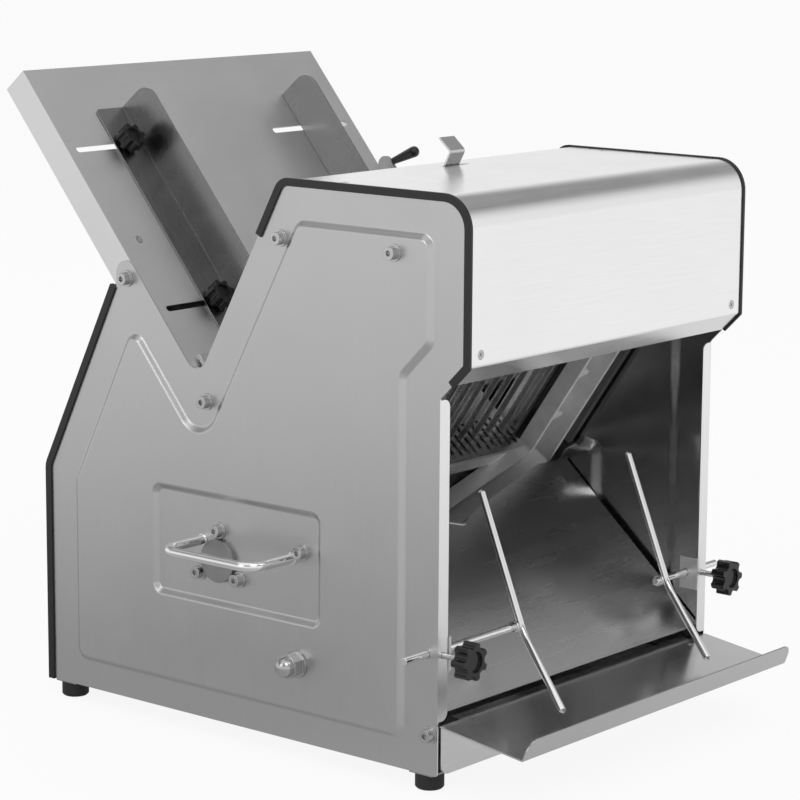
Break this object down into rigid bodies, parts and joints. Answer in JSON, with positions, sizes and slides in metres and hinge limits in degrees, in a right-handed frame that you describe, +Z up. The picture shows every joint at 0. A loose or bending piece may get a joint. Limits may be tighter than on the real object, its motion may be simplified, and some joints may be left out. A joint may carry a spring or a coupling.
{
  "type": "electric bread slicer",
  "caption": "Table-top loaf slicer with two moving blade frames, a sloping loading board, an output chute and a pull-out crumb drawer.",
  "frame": {"origin": "on the floor, in the middle of the object's box", "axes": "+X towards the operator's right, along the width; -Y towards the output side, where the operator stands; +Z up"},
  "size_m": [0.59, 0.7074, 0.6733],
  "materials": {
    "panel_steel": "satin stainless sheet",
    "hood_steel": "fine satin stainless sheet",
    "inner_steel": "smooth stainless sheet, lightly scratched",
    "trim_rubber": "black edge profile",
    "foot_rubber": "moulded black rubber",
    "cast_alloy": "matt casting with machined rims",
    "blade_steel": "ground blade steel",
    "shoe_plastic": "white sliding plastic",
    "rail_plastic": "dark sliding plastic",
    "machined_steel": "turned steel",
    "bearing_bronze": "turned bronze",
    "pulley_iron": "turned cast iron",
    "motor_paint": "painted aluminium",
    "belt_rubber": "moulded vee belt",
    "base_steel": "mill-finish sheet",
    "knob_plastic": "moulded black plastic",
    "grip_plastic": "moulded black plastic",
    "wire_chrome": "bright chromed rod",
    "bolt_steel": "stainless fastener",
    "box_plastic": "moulded box",
    "start_green": "green cap",
    "stop_red": "red cap"
  },
  "bodies": {
    "chassis": {"side_panel_left": "panel_steel", "side_panel_right": "panel_steel", "hood": "hood_steel", "edge_trims": "trim_rubber", "rear_cover": "panel_steel", "base_pan": "base_steel", "foot_brackets": "base_steel", "feet": "foot_rubber", "drawer_runners": "base_steel", "loading_board": "hood_steel", "comb_plate": "inner_steel", "output_chute": "inner_steel", "sheet_screws": "bolt_steel", "guide_rails": "rail_plastic", "bearing_housings": "pulley_iron", "bearing_caps": "hood_steel", "motor": "motor_paint", "motor_mount": "base_steel", "drive_belt": "belt_rubber", "clamp_brackets": "bolt_steel", "carry_handles": "wire_chrome", "hold_down_rails": "base_steel", "panel_bolts": "bolt_steel", "tie_rod": "machined_steel", "acorn_nuts": "bolt_steel", "switch_box": "box_plastic", "cable_gland": "box_plastic"},
    "crankshaft": {"crankshaft": "machined_steel", "crank_rollers": "bearing_bronze", "large_pulley": "pulley_iron"},
    "motor_rotor": {"motor_pulley": "pulley_iron"},
    "front_frame": {"front_blade_frame": "cast_alloy", "front_blades": "blade_steel", "front_shoes": "shoe_plastic"},
    "rear_frame": {"rear_blade_frame": "cast_alloy", "rear_blades": "blade_steel", "rear_shoes": "shoe_plastic"},
    "drawer": {"crumb_drawer": "inner_steel", "output_tray": "hood_steel", "tray_screws": "bolt_steel"},
    "left_guide": {"loaf_guide_left": "hood_steel", "guide_bolts_left": "bolt_steel"},
    "right_guide": {"loaf_guide_right": "hood_steel", "guide_bolts_right": "bolt_steel"},
    "left_guide_high_knob": {"guide_knob_left_high": "knob_plastic"},
    "left_guide_low_knob": {"guide_knob_left_low": "knob_plastic"},
    "right_guide_high_knob": {"guide_knob_right_high": "knob_plastic"},
    "right_guide_low_knob": {"guide_knob_right_low": "knob_plastic"},
    "left_crossbar": {"wire_crossbar_left": "wire_chrome"},
    "right_crossbar": {"wire_crossbar_right": "wire_chrome"},
    "left_wire": {"wire_guide_left": "wire_chrome"},
    "right_wire": {"wire_guide_right": "wire_chrome"},
    "left_clamp_knob": {"clamp_knob_left": "knob_plastic"},
    "right_clamp_knob": {"clamp_knob_right": "knob_plastic"},
    "hold_down": {"hold_down_plate": "inner_steel"},
    "pusher": {"push_lever": "machined_steel", "lever_grip": "grip_plastic", "pusher_paddle": "inner_steel"},
    "start": {"start_button": "start_green"},
    "stop": {"stop_button": "stop_red"}
  },
  "joints": [
    {"name": "crank_turn", "type": "hinge", "parent": "chassis", "child": "crankshaft", "pos_m": [0, 0.04616, 0.1888], "axis": [1, 0, 0], "range_deg": [0, 180]},
    {"name": "front_frame_slide", "type": "slide", "parent": "chassis", "child": "front_frame", "axis": [0, -0.5678, 0.8231], "range_m": [-0.024, 0]},
    {"name": "rear_frame_slide", "type": "slide", "parent": "chassis", "child": "rear_frame", "axis": [0, -0.5678, 0.8231], "range_m": [0, 0.024]},
    {"name": "motor_turn", "type": "hinge", "parent": "chassis", "child": "motor_rotor", "pos_m": [0, 0.19867, 0.098], "axis": [1, 0, 0], "range_deg": [0, 450]},
    {"name": "drawer_slide", "type": "slide", "parent": "chassis", "child": "drawer", "axis": [0, -1, 0], "range_m": [0, 0.2]},
    {"name": "left_guide_slide", "type": "slide", "parent": "chassis", "child": "left_guide", "axis": [1, 0, 0], "range_m": [-0.064, 0.05]},
    {"name": "right_guide_slide", "type": "slide", "parent": "chassis", "child": "right_guide", "axis": [1, 0, 0], "range_m": [-0.07, 0.045]},
    {"name": "left_high_knob_turn", "type": "hinge", "parent": "left_guide", "child": "left_guide_high_knob", "pos_m": [-0.14509, 0.26181, 0.59337], "axis": [0, -0.7683, 0.6401], "range_deg": [0, 360]},
    {"name": "left_low_knob_turn", "type": "hinge", "parent": "left_guide", "child": "left_guide_low_knob", "pos_m": [-0.14509, 0.13251, 0.43818], "axis": [0, -0.7683, 0.6401], "range_deg": [0, 360]},
    {"name": "right_high_knob_turn", "type": "hinge", "parent": "right_guide", "child": "right_guide_high_knob", "pos_m": [0.16509, 0.26181, 0.59337], "axis": [0, -0.7683, 0.6401], "range_deg": [0, 360]},
    {"name": "right_low_knob_turn", "type": "hinge", "parent": "right_guide", "child": "right_guide_low_knob", "pos_m": [0.16509, 0.13251, 0.43818], "axis": [0, -0.7683, 0.6401], "range_deg": [0, 360]},
    {"name": "left_crossbar_slide", "type": "slide", "parent": "chassis", "child": "left_crossbar", "axis": [1, 0, 0], "range_m": [-0.09, 0.025]},
    {"name": "right_crossbar_slide", "type": "slide", "parent": "chassis", "child": "right_crossbar", "axis": [1, 0, 0], "range_m": [-0.033, 0.02]},
    {"name": "left_wire_swing", "type": "hinge", "parent": "left_crossbar", "child": "left_wire", "pos_m": [-0.09, -0.22734, 0.139], "axis": [1, 0, 0], "range_deg": [-35, 0]},
    {"name": "right_wire_swing", "type": "hinge", "parent": "right_crossbar", "child": "right_wire", "pos_m": [0.164, -0.22734, 0.139], "axis": [1, 0, 0], "range_deg": [-35, 0]},
    {"name": "left_clamp_turn", "type": "hinge", "parent": "chassis", "child": "left_clamp_knob", "pos_m": [-0.222, -0.26533, 0.139], "axis": [0, 1, 0], "range_deg": [0, 360]},
    {"name": "right_clamp_turn", "type": "hinge", "parent": "chassis", "child": "right_clamp_knob", "pos_m": [0.222, -0.26533, 0.139], "axis": [0, 1, 0], "range_deg": [0, 360]},
    {"name": "hold_down_slide", "type": "slide", "parent": "chassis", "child": "hold_down", "axis": [0, -0.4741, 0.8805], "range_m": [0, 0.08]},
    {"name": "push_lever_turn", "type": "hinge", "parent": "chassis", "child": "pusher", "pos_m": [0.24, 0.06327, 0.3517], "axis": [1, 0, 0], "range_deg": [0, 58]},
    {"name": "start_press", "type": "slide", "parent": "chassis", "child": "start", "axis": [-1, 0, 0], "range_m": [0, 0.003], "stiffness_N_per_m": 400, "springref_m": -0.002},
    {"name": "stop_press", "type": "slide", "parent": "chassis", "child": "stop", "axis": [-1, 0, 0], "range_m": [0, 0.003], "stiffness_N_per_m": 400, "springref_m": -0.002}
  ],
  "couplings": [
    {"joint": "front_frame_slide", "follows": "crank_turn", "m_per_rad": -0.0076394},
    {"joint": "rear_frame_slide", "follows": "crank_turn", "m_per_rad": 0.0076394},
    {"joint": "motor_turn", "follows": "crank_turn", "ratio": 2.5}
  ]
}
